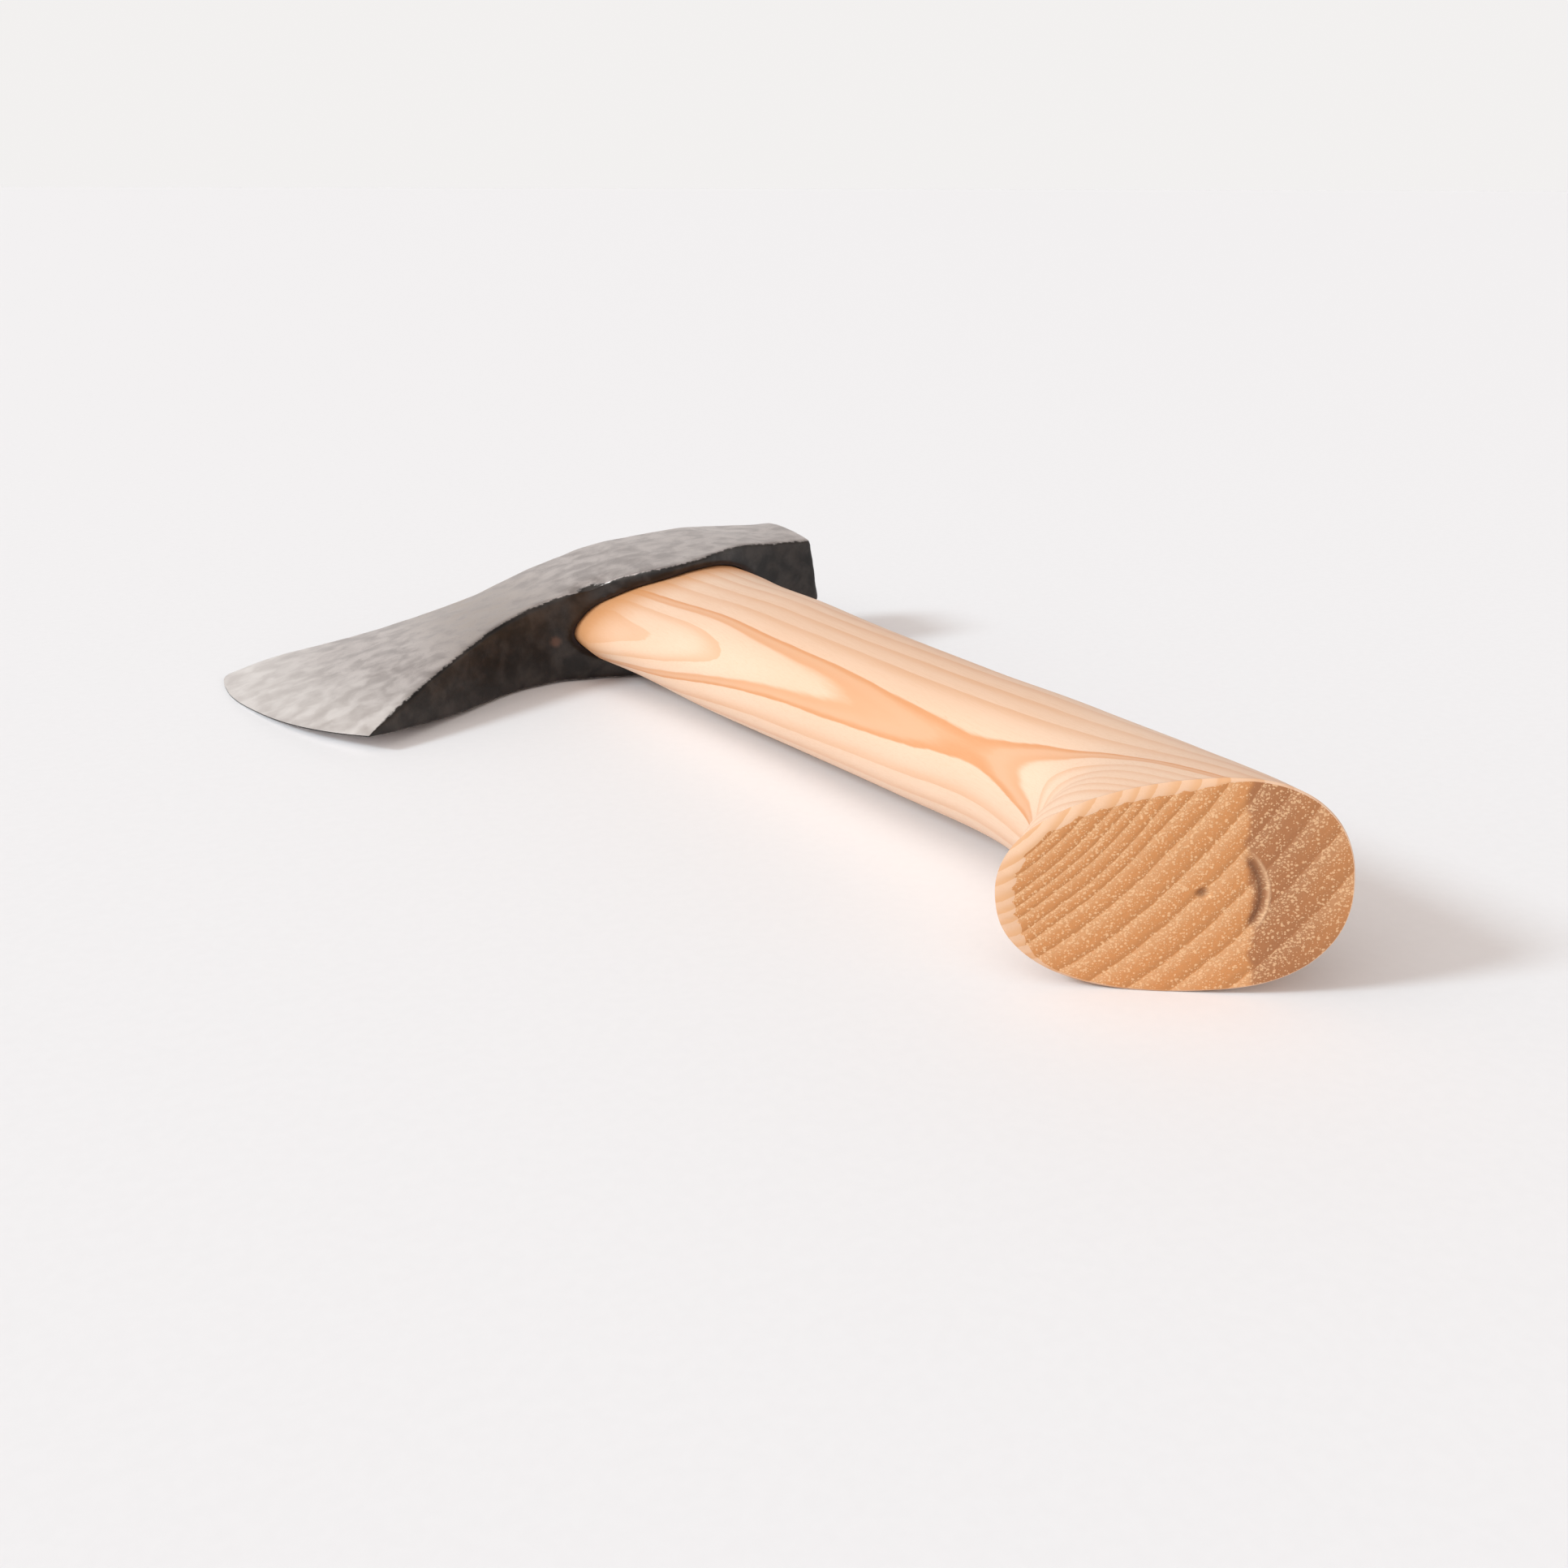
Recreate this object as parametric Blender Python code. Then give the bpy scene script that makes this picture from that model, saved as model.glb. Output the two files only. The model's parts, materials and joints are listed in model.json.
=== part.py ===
"""Hatchet: a forged steel head on a short wooden haft, held by two wedges.

The hatchet is drawn in millimetres in its own working frame.  +Y runs along the haft from
the knob to the head, -X points to the cutting edge, +X to the poll, and z = 0 is the middle
plane of the blade.  It is then laid on its side, on the knob, the lower cheek and the edge.
"""
import math

import bmesh
import bpy
import numpy as np
from mathutils import Matrix, Vector

MM = 0.001

# ---- haft ---------------------------------------------------------------------------------
GRIP_END = 177.0           # last section that follows the grip
TONGUE_START = 181.0       # first section that follows the eye
HAFT_TOP = 227.0           # top of the tongue, just proud of the head
HAFT_SIDES = 40
KNOB_SLANT = math.radians(-30.7)
KNOB_FADE = 62.0           # length over which the slant of the knob face dies away
KNOB_RIM = 0.4             # softened rim of the knob face
KNOB_NOSE = 1.9            # wider sanded chamfer at the nose of the knob
CENTRE_MARK_R = 1.1
CENTRE_MARK_DEPTH = 1.2
CENTRE_MARK_X = 1.3

# Grip stations along the haft: y, front x, back x, half thickness, x of the thickest point.
GRIP = (
    (0.0, -23.4, 19.4, 16.7, 3.0),
    (10.0, -17.0, 21.3, 15.7, 3.6),
    (20.0, -10.2, 22.3, 14.3, 5.6),
    (30.0, -7.2, 22.4, 13.3, 7.4),
    (46.0, -6.4, 22.0, 12.5, 7.8),
    (75.0, -9.9, 20.4, 12.1, 5.2),
    (132.0, -18.1, 18.6, 12.2, 0.2),
    (165.0, -24.4, 19.4, 11.0, -0.8),
    (177.0, -27.2, 19.9, 10.7, 0.0),
)
GRIP_ROUNDNESS = 2.28
POINT_START = 140.0        # where the grip starts to take the pointed front of the eye

# Eye stations: y, front x, back x, half thickness of the hole.
EYE = (
    (176.0, -28.2, 20.3, 10.9),
    (182.0, -28.3, 20.3, 10.7),
    (190.0, -28.2, 20.2, 10.3),
    (204.0, -27.4, 19.9, 9.5),
    (218.0, -27.4, 20.2, 9.7),
    (230.0, -28.0, 20.7, 10.2),
)
EYE_ROUNDNESS = (1.85, 2.0)     # superellipse exponents, at the front and at the back
EYE_BELLY = 0.0                 # x of the thickest point
FIT_GAP = 0.3

# ---- wedges -------------------------------------------------------------------------------
WEDGE_DEPTH = 27.0
WEDGE_TOP_HALF = 2.1
WEDGE_TIP_HALF = 0.5
STEEL_WIDTH = 13.0
STEEL_DEPTH = 17.0
STEEL_TOP_HALF = 1.5
STEEL_TIP_HALF = 0.35
STEEL_ANGLE = math.radians(90.0)
STEEL_X = -3.0

# ---- head ---------------------------------------------------------------------------------
POLL_X = 37.5
HEEL = (-83.9, 157.7)
TOE = (-102.8, 230.8)
TOE_ROUND = 5.0            # radius of the corner between the edge and the top
EDGE_BULGE = 8.0
EDGE_ARC = 2.4             # exponent of the curved edge, higher for rounder corners
EDGE_HALF = 0.15

# Underside of the head from the heel to the poll: x, y, half thickness.
UNDERSIDE = (
    (-83.9, 157.7, 0.15),
    (-76.0, 163.0, 2.6),
    (-62.0, 173.6, 5.9),
    (-42.5, 187.2, 8.9),
    (-33.0, 189.8, 10.0),
    (-24.0, 188.8, 11.3),
    (-14.0, 185.8, 12.5),
    (-5.0, 182.4, 13.2),
    (2.0, 183.2, 13.1),
    (10.0, 187.2, 12.7),
    (18.0, 191.8, 11.6),
    (26.0, 194.0, 9.8),
    (37.5, 194.8, 8.0),
)
# Top of the head from the toe to the poll: x, y, half thickness.
TOP = (
    (-102.8, 230.8, 0.15),
    (-92.0, 230.6, 1.3),
    (-64.6, 228.4, 2.8),
    (-42.0, 227.0, 5.8),
    (-26.0, 225.8, 9.6),
    (-6.4, 224.4, 12.3),
    (10.0, 222.6, 12.1),
    (22.0, 221.0, 10.6),
    (34.0, 219.2, 8.9),
    (37.5, 218.8, 8.6),
)
HEAD_STATIONS = 30
CHEEK_ROWS = 10
CHEEK_CROWN = 0.5          # extra half thickness at mid height
CORNER = 1.2               # radius of the forged corners
CORNER_STEPS = ((0.0, 1.0), (0.3, 0.3), (1.0, 0.0))

# ---- resting pose ---------------------------------------------------------------------------
REST_ROLL = math.radians(-7.72)
REST_TILT = math.radians(-0.63)


def clear_scene():
    """Remove every object left in the scene."""
    for item in list(bpy.data.objects):
        bpy.data.objects.remove(item, do_unlink=True)


def smooth_value(stations, values, at):
    """Monotone cubic interpolation of a table at one position."""
    x = np.asarray(stations, float)
    v = np.asarray(values, float)
    gap = np.diff(x)
    rise = np.diff(v) / gap
    slope = np.zeros(len(x))
    slope[0] = rise[0]
    slope[-1] = rise[-1]
    for i in range(1, len(x) - 1):
        if rise[i - 1] * rise[i] > 0.0:
            before = 2.0 * gap[i] + gap[i - 1]
            after = gap[i] + 2.0 * gap[i - 1]
            slope[i] = (before + after) / (before / rise[i - 1] + after / rise[i])
    at = min(max(at, x[0]), x[-1])
    k = min(int(np.searchsorted(x, at, side="right")) - 1, len(gap) - 1)
    t = (at - x[k]) / gap[k]
    start = (1.0 + 2.0 * t) * (1.0 - t) ** 2 * v[k] + t * (1.0 - t) ** 2 * gap[k] * slope[k]
    end = t * t * (3.0 - 2.0 * t) * v[k + 1] + t * t * (t - 1.0) * gap[k] * slope[k + 1]
    return float(start + end)


def table_value(table, column, at):
    """Smooth value of one column of a station table."""
    return smooth_value([row[0] for row in table], [row[column] for row in table], at)


def fade(distance, reach):
    """One at the start, easing to zero at the reach."""
    t = min(max(distance / reach, 0.0), 1.0)
    return 1.0 - t * t * (3.0 - 2.0 * t)


def oval_point(angle, front, back, half, roundness, belly):
    """Point of an oval from a front to a back x, thickest at the belly, with two roundnesses."""
    c = math.cos(angle)
    s = math.sin(angle)
    reach = back - belly if c > 0.0 else belly - front
    power = 2.0 / (roundness[1] if c > 0.0 else roundness[0])
    x = belly + reach * math.copysign(abs(c) ** power, c)
    z = half * math.copysign(abs(s) ** power, s)
    return x, z


def grip_roundness(y):
    """Front and back roundness of the grip, easing into those of the eye."""
    share = 1.0 - fade(y - POINT_START, GRIP_END - POINT_START)
    return tuple(GRIP_ROUNDNESS + (end - GRIP_ROUNDNESS) * share for end in EYE_ROUNDNESS)


def haft_ring(y, nose=0.0, rim=0.0):
    """Outline of the grip at a distance from the knob face, pulled in at the nose and the rim."""
    front, back, half, belly = (table_value(GRIP, column, y) for column in (1, 2, 3, 4))
    slant = fade(y, KNOB_FADE) * math.tan(KNOB_SLANT)
    roundness = grip_roundness(y)
    ring = []
    for i in range(HAFT_SIDES):
        angle = 2.0 * math.pi * i / HAFT_SIDES
        x, z = oval_point(angle, front + nose, back - rim, half - rim, roundness, belly)
        ring.append((x, y + slant * x, z))
    return ring


def eye_ring(y, inset):
    """Outline of the eye at a height, pulled in by an inset."""
    front = table_value(EYE, 1, y) + inset
    back = table_value(EYE, 2, y) - inset
    half = table_value(EYE, 3, y) - inset
    ring = []
    for i in range(HAFT_SIDES):
        angle = 2.0 * math.pi * i / HAFT_SIDES
        x, z = oval_point(angle, front, back, half, EYE_ROUNDNESS, EYE_BELLY)
        ring.append((x, y, z))
    return ring


def close_flat(body, row):
    """Close the end of a loft with one flat face."""
    body.faces.new(row)


def close_strip(body, row):
    """Close the end of a loft with a strip of narrow faces between its two mirrored halves."""
    count = len(row)
    for i in range(count // 2 - 1):
        body.faces.new((row[i], row[i + 1], row[count - 2 - i], row[count - 1 - i]))


def loft(name, rings, close_end=close_flat):
    """Closed solid through a row of rings with the same number of points."""
    mesh = bpy.data.meshes.new(name)
    body = bmesh.new()
    rows = []
    for ring in rings:
        rows.append([body.verts.new(Vector(point) * MM) for point in ring])
    count = len(rings[0])
    for low, high in zip(rows, rows[1:]):
        for i in range(count):
            j = (i + 1) % count
            body.faces.new((low[i], low[j], high[j], high[i]))
    close_flat(body, rows[0])
    close_end(body, rows[-1])
    bmesh.ops.recalc_face_normals(body, faces=body.faces)
    body.to_mesh(mesh)
    body.free()
    return bpy.data.objects.new(name, mesh)


def wedge_block(name, depth, width, top_half, tip_half, height):
    """Tapered block hanging down from a height, wide along x and thin along z."""
    rings = []
    for y, half in ((height - depth, tip_half), (height, top_half)):
        corners = ((-width / 2.0, y, -half), (width / 2.0, y, -half))
        others = ((width / 2.0, y, half), (-width / 2.0, y, half))
        rings.append(corners + others)
    return loft(name, rings)


def cut(target, cutter):
    """Exact difference of a cutter from a target."""
    step = target.modifiers.new("cut_" + cutter.name, "BOOLEAN")
    step.operation = "DIFFERENCE"
    step.solver = "EXACT"
    step.object = cutter


def cheek(along, up):
    """Position and half thickness on the cheek: along 0 poll to 1 edge, up 0 under to 1 top."""
    low_x = POLL_X + (HEEL[0] - POLL_X) * along
    high_x = POLL_X + (TOE[0] - POLL_X) * along
    low_y = table_value(UNDERSIDE, 1, low_x)
    high_y = table_value(TOP, 1, high_x)
    low_half = table_value(UNDERSIDE, 2, low_x)
    high_half = table_value(TOP, 2, high_x)
    arch = 1.0 - abs(2.0 * up - 1.0) ** EDGE_ARC
    x = low_x + (high_x - low_x) * up - EDGE_BULGE * arch * along ** 3
    past = max(0.0, 1.0 - (1.0 - up) * (high_y - low_y) / TOE_ROUND)
    x += TOE_ROUND * (1.0 - math.sqrt(1.0 - past * past)) * along ** 12
    y = low_y + (high_y - low_y) * up
    half = low_half + (high_half - low_half) * up
    half += CHEEK_CROWN * arch * (1.0 - along ** 4)
    return x, y, max(half, EDGE_HALF)


def head_ring(along, inset):
    """Ring of the solid head at a station, with rounded corners, pulled in by an inset."""
    span = cheek(along, 1.0)[1] - cheek(along, 0.0)[1]
    rows = []
    for end in (0.0, 1.0):
        soft = min(CORNER, 0.45 * cheek(along, end)[2])
        steps = [((inset + soft * depth) / span, inset + soft * back) for depth, back in CORNER_STEPS]
        if end == 0.0:
            rows.extend(steps)
            first = steps[-1][0]
        else:
            last = 1.0 - steps[-1][0]
            turns = np.linspace(0.0, math.pi, CHEEK_ROWS)[1:-1]
            rows.extend([(first + (last - first) * (1.0 - math.cos(t)) / 2.0, inset) for t in turns])
            rows.extend([(1.0 - up, back) for up, back in steps[::-1]])
    upper = []
    lower = []
    for up, back in rows:
        x, y, half = cheek(along, up)
        half = max(half - back, EDGE_HALF)
        upper.append((x, y, half))
        lower.append((x, y, -half))
    return upper + lower[::-1]


def head_rings():
    """Rings of the solid head from the poll to the cutting edge."""
    length = POLL_X - HEEL[0]
    rings = [head_ring(CORNER * depth / length, CORNER * back) for depth, back in CORNER_STEPS]
    for s in range(1, HEAD_STATIONS):
        rings.append(head_ring(s / (HEAD_STATIONS - 1), 0.0))
    return rings


def build_head(cutters):
    """Forged head with its eye."""
    head = loft("head", head_rings(), close_strip)
    low = EYE[0][0] - 6.0
    high = EYE[-1][0] + 6.0
    heights = np.linspace(low, high, 11)
    eye = loft("eye_cutter", [eye_ring(y, 0.0) for y in heights])
    cutters.append(eye)
    cut(head, eye)
    return head


def build_haft(cutters):
    """Wooden haft with its slanted knob and the slotted tongue inside the eye."""
    rings = [haft_ring(0.0, KNOB_NOSE, KNOB_RIM), haft_ring(2.0 * KNOB_RIM)]
    for y in np.linspace(5.0, GRIP_END, 25):
        rings.append(haft_ring(y))
    for y in np.linspace(TONGUE_START, HAFT_TOP, 7):
        rings.append(eye_ring(y, FIT_GAP))
    haft = loft("haft", rings)
    kerf = wedge_block("kerf_cutter", WEDGE_DEPTH + 2.0, 80.0, WEDGE_TOP_HALF + FIT_GAP,
                       WEDGE_TIP_HALF + FIT_GAP, HAFT_TOP + 1.0)
    cutters.append(kerf)
    cut(haft, kerf)
    return haft


def build_wooden_wedge():
    """Hardwood wedge driven into the kerf of the tongue."""
    front = table_value(EYE, 1, HAFT_TOP)
    back = table_value(EYE, 2, HAFT_TOP)
    width = back - front - 4.0
    wedge = wedge_block("wood_wedge", WEDGE_DEPTH, width, WEDGE_TOP_HALF, WEDGE_TIP_HALF, HAFT_TOP)
    slide(wedge, (front + back) / 2.0)
    return wedge


def slide(item, x):
    """Move the mesh of an item along x."""
    item.data.transform(Matrix.Translation(Vector((x * MM, 0.0, 0.0))))


def turn_on_haft(item):
    """Turn the mesh of an item about the haft's long axis and set it on the tongue."""
    item.data.transform(Matrix.Rotation(STEEL_ANGLE, 4, "Y"))
    slide(item, STEEL_X)


def build_steel_wedge(cutters, split):
    """Small steel wedge driven across the wooden one."""
    steel = wedge_block("steel_wedge", STEEL_DEPTH, STEEL_WIDTH, STEEL_TOP_HALF, STEEL_TIP_HALF,
                        HAFT_TOP + 0.4)
    slot = wedge_block("steel_slot_cutter", STEEL_DEPTH + 1.5, STEEL_WIDTH + 2.0 * FIT_GAP,
                       STEEL_TOP_HALF + FIT_GAP, STEEL_TIP_HALF + FIT_GAP, HAFT_TOP + 1.0)
    turn_on_haft(steel)
    turn_on_haft(slot)
    cutters.append(slot)
    for item in split:
        cut(item, slot)
    return steel


def add_centre_mark(haft, cutters):
    """Small conical lathe mark in the middle of the knob face."""
    mesh = bpy.data.meshes.new("centre_mark_cutter")
    body = bmesh.new()
    bmesh.ops.create_cone(body, cap_ends=True, segments=12, radius1=CENTRE_MARK_R * MM,
                          radius2=0.15 * MM, depth=2.0 * CENTRE_MARK_DEPTH * MM)
    body.to_mesh(mesh)
    body.free()
    face_up = Matrix.Rotation(-math.pi / 2.0, 4, "X")
    lean = Matrix.Rotation(KNOB_SLANT, 4, "Z")
    seat = Matrix.Translation(Vector((1.0, math.tan(KNOB_SLANT), 0.0)) * CENTRE_MARK_X * MM)
    mesh.transform(seat @ lean @ face_up)
    mark = bpy.data.objects.new("centre_mark_cutter", mesh)
    cutters.append(mark)
    cut(haft, mark)


def material(name, colour, metallic, roughness):
    """Principled material."""
    made = bpy.data.materials.new(name)
    made.use_nodes = True
    shader = made.node_tree.nodes["Principled BSDF"]
    shader.inputs["Base Color"].default_value = (*colour, 1.0)
    shader.inputs["Metallic"].default_value = metallic
    shader.inputs["Roughness"].default_value = roughness
    made.diffuse_color = (*colour, 1.0)
    return made


def lay_down(items, parts):
    """Lay the whole hatchet on its side with its box centred over the origin."""
    turn = Matrix.Rotation(REST_ROLL, 4, "Y") @ Matrix.Rotation(REST_TILT, 4, "X")
    for item in items:
        item.matrix_world = turn
    bpy.context.view_layer.update()
    graph = bpy.context.evaluated_depsgraph_get()
    points = []
    for item in parts:
        solid = item.evaluated_get(graph).to_mesh()
        points.extend([tuple(turn @ vertex.co) for vertex in solid.vertices])
        item.evaluated_get(graph).to_mesh_clear()
    low = np.min(points, axis=0)
    high = np.max(points, axis=0)
    centre = (low + high) / 2.0
    shift = Matrix.Translation(Vector((-centre[0], -centre[1], -low[2])))
    for item in items:
        item.matrix_world = shift @ turn
    bpy.context.view_layer.update()


def main():
    """Build the hatchet."""
    clear_scene()
    cutters = []
    head = build_head(cutters)
    haft = build_haft(cutters)
    wooden = build_wooden_wedge()
    steel = build_steel_wedge(cutters, (haft, wooden))
    add_centre_mark(haft, cutters)
    looks = (
        (head, "forged_steel", (0.30, 0.29, 0.28), 1.0, 0.42),
        (haft, "haft_wood", (0.83, 0.62, 0.42), 0.0, 0.5),
        (wooden, "wedge_wood", (0.62, 0.42, 0.25), 0.0, 0.6),
        (steel, "wedge_steel", (0.42, 0.42, 0.43), 1.0, 0.38),
    )
    parts = []
    body = bpy.data.collections.new("hatchet")
    tools = bpy.data.collections.new("cutters")
    bpy.context.scene.collection.children.link(body)
    bpy.context.scene.collection.children.link(tools)
    for item, name, colour, metallic, roughness in looks:
        item.data.materials.append(material(name, colour, metallic, roughness))
        body.objects.link(item)
        parts.append(item)
    for item in cutters:
        item.hide_render = True
        item.display_type = "WIRE"
        tools.objects.link(item)
    lay_down(parts + cutters, parts)
    for item in parts:
        item.data.shade_smooth()
        item.data.set_sharp_from_angle(angle=math.radians(35.0))


main()
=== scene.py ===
"""Looks of the hatchet: a forged head on a pale wooden haft, lying on a pale floor.

The fine pieces are drawn in the hatchet's own working frame, in millimetres: +Y runs along the
haft from the knob to the head, -X points to the cutting edge and +Z is the cheek that shows.
One matrix, found from the record's poll mount, lays them in the frame of the CAD model.
"""

import json
import math

import bmesh
import bpy
import numpy as np
from mathutils import Matrix, Vector, kdtree, noise

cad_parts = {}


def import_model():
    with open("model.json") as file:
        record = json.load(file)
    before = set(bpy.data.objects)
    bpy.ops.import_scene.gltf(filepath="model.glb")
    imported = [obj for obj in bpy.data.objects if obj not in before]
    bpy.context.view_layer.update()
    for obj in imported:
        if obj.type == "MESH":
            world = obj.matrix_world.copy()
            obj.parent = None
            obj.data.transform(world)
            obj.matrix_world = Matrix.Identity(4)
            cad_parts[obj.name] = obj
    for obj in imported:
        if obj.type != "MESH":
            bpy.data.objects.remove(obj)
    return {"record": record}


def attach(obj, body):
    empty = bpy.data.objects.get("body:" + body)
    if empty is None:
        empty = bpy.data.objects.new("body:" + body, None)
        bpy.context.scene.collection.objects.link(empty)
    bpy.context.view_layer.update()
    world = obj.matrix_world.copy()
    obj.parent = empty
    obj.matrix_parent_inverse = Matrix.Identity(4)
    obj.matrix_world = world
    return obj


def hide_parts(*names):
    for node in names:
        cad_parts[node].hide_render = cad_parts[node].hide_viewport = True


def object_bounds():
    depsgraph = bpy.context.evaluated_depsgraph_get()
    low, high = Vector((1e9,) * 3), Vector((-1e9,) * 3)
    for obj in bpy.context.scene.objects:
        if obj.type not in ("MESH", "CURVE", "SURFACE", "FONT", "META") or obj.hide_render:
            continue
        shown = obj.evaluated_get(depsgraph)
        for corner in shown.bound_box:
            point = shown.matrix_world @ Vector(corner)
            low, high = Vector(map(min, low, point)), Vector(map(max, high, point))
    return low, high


MM = 0.001
SKIN = 0.05                # fine surfaces lie this far inside the CAD surfaces
BOX_MARGIN = 0.02          # fine points stay this far inside the box of the CAD model

# ---- haft ---------------------------------------------------------------------------------
GRIP_END = 177.0
TONGUE_START = 181.0
HAFT_TOP = 227.0
HAFT_SIDES = 240
GRIP_START = 1.6           # first ring of the grip behind the rim of the knob face
GRIP_RINGS = 260
FACE_RINGS = 110
TONGUE_RINGS = 14
TOP_RINGS = 12
TOP_ROUND = 0.4            # softened rim of the tongue's top
KNOB_SLANT = math.radians(-30.7)
KNOB_FADE = 62.0
RIM = 0.35                 # softened rim of the knob face
NOSE = 1.65                # extra width of the hand-sanded chamfer round the nose
# Grip stations along the haft: y, front x, back x, half thickness, x of the thickest point.
GRIP = (
    (0.0, -23.4, 19.4, 16.7, 3.0),
    (10.0, -17.0, 21.3, 15.7, 3.6),
    (20.0, -10.2, 22.3, 14.3, 5.6),
    (30.0, -7.2, 22.4, 13.3, 7.4),
    (46.0, -6.4, 22.0, 12.5, 7.8),
    (75.0, -9.9, 20.4, 12.1, 5.2),
    (132.0, -18.1, 18.6, 12.2, 0.2),
    (165.0, -24.4, 19.4, 11.0, -0.8),
    (177.0, -27.2, 19.9, 10.7, 0.0),
)
GRIP_ROUNDNESS = 2.28
POINT_START = 140.0        # where the grip starts to take the pointed front of the eye
# Eye stations: y, front x, back x, half thickness of the hole.
EYE = (
    (176.0, -28.2, 20.3, 10.9),
    (182.0, -28.3, 20.3, 10.7),
    (190.0, -28.2, 20.2, 10.3),
    (204.0, -27.4, 19.9, 9.5),
    (218.0, -27.4, 20.2, 9.7),
    (230.0, -28.0, 20.7, 10.2),
)
EYE_ROUNDNESS = (1.85, 2.0)     # superellipse exponents, at the front and at the back
EYE_BELLY = 0.0                 # x of the thickest point
EYE_OVERRUN = 6.0               # the cutter of the eye runs on past its stations
FIT_GAP = 0.3
DIMPLE = (1.3, -0.7, 1.0, 0.55)     # lathe mark on the knob face: x, z, radius, depth
TOOL_MARK = (-1.55, -1.1, 9.8)      # arc of the tool mark: centre x, z, radius
TOOL_MARK_HALF_ANGLE = math.radians(40.0)

# ---- growth rings -------------------------------------------------------------------------
PITH = (-75.0, 65.0)       # x, z of the tree's centre line
# Gain in ring radius along the haft: y, gain.
RING_DRIFT = (
    (-12.0, -0.6),
    (0.0, 0.0),
    (50.0, 2.0),
    (80.0, 4.1),
    (130.0, 7.4),
    (160.0, 8.4),
    (230.0, 11.5),
)
# Radii of the dark lines between the rings.
RING_EDGES = (
    70.0, 72.5, 75.0, 77.0, 79.0, 80.5, 82.0, 84.0, 85.5, 87.0, 89.0,
    90.7, 93.4, 97.0, 100.5, 104.6, 108.4, 113.4, 118.0, 123.0, 128.0,
)

# ---- colours ------------------------------------------------------------------------------
PALE_WOOD = (0.78, 0.55, 0.40)
WARM_WOOD = (0.76, 0.50, 0.345)
LATE_WOOD = (0.68, 0.355, 0.19)
BOLD_RING = (0.64, 0.265, 0.10)
FIBRE_STREAK = (0.66, 0.39, 0.22)
LONG_PORE = (0.58, 0.34, 0.18)
HEAD_RIM = (0.64, 0.29, 0.115)
CHAMFER_WOOD = (0.66, 0.35, 0.17)
END_LATE = (0.59, 0.25, 0.088)
END_EARLY = (0.68, 0.345, 0.16)
END_LINE = (0.42, 0.175, 0.06)
END_MOTTLE = (0.52, 0.25, 0.10)
END_STAIN = (0.29, 0.115, 0.052)
END_SPECK = (0.90, 0.58, 0.33)
SPECK_SIZES = (1.7, 2.4, 3.6)      # specks of end grain to the millimetre, coarse to fine
# painted shade in the lathe dimple and the tool-mark groove, and a painted highlight on the lifted
# lip
DIMPLE_SHADE = (0.22, 0.09, 0.035)
GROOVE_SHADE = (0.20, 0.085, 0.04)
LIP_HIGHLIGHT = (0.85, 0.56, 0.34)
SATIN_STEEL = ((0.50, 0.452, 0.435), (0.74, 0.685, 0.662))     # darker and lighter blotches
HOLLOW_STEEL = (0.46, 0.39, 0.335)
PIT_STEEL = (0.20, 0.175, 0.168)
BIT_STEEL = ((0.80, 0.75, 0.72), (0.95, 0.91, 0.885))
# black of the head: partly forge oxide and partly painted shade on the walls, painted shade on the
# forged corners and in the lug dent
FORGE_SCALE_AND_SHADE = ((0.007, 0.0048, 0.0038), (0.040, 0.032, 0.028))
EYE_RIM_STEEL = (0.06, 0.052, 0.056)
RUST_BROWN = (0.13, 0.065, 0.045)
WEDGE_GRAIN = ((0.50, 0.30, 0.15), (0.33, 0.17, 0.08))
WEDGE_SPECK = (0.18, 0.09, 0.04)
PRESSED_STEEL = ((0.24, 0.23, 0.225), (0.50, 0.49, 0.48))
PAPER = ((0.815, 0.80, 0.81), (0.825, 0.81, 0.82))

# ---- wedges -------------------------------------------------------------------------------
WEDGE_DEPTH = 27.0
WEDGE_TOP_HALF = 2.1
WEDGE_TIP_HALF = 0.5
STEEL_WIDTH = 13.0
STEEL_DEPTH = 17.0
STEEL_TOP_HALF = 1.5
STEEL_TIP_HALF = 0.35
STEEL_X = -3.0             # place of the steel wedge along the wooden one
STEEL_PROUD = 0.4          # the steel wedge stands this far out of the tongue
KERF_SPARE = 2.0           # the kerf and the slot are cut deeper than their wedges
SLOT_SPARE = 1.5
CUT_PROUD = 1.0            # and their cutters stand out of the tongue
CORNER_POINTS = 4          # points round each corner of a wedge
WIDE_STEPS = 18            # divisions of its wide and thin sides
THIN_STEPS = 5

# ---- head ---------------------------------------------------------------------------------
POLL_X = 37.5
HEEL = (-83.9, 157.7)
TOE = (-102.8, 230.8)
TOE_ROUND = 5.0            # radius of the corner between the edge and the top
EDGE_BULGE = 8.0
EDGE_ARC = 2.4             # exponent of the curved edge, higher for rounder corners
EDGE_HALF = 0.15
# Underside of the head from the heel to the poll: x, y, half thickness.
UNDERSIDE = (
    (-83.9, 157.7, 0.15),
    (-76.0, 163.0, 2.6),
    (-62.0, 173.6, 5.9),
    (-42.5, 187.2, 8.9),
    (-33.0, 189.8, 10.0),
    (-24.0, 188.8, 11.3),
    (-14.0, 185.8, 12.5),
    (-5.0, 182.4, 13.2),
    (2.0, 183.2, 13.1),
    (10.0, 187.2, 12.7),
    (18.0, 191.8, 11.6),
    (26.0, 194.0, 9.8),
    (37.5, 194.8, 8.0),
)
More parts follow.
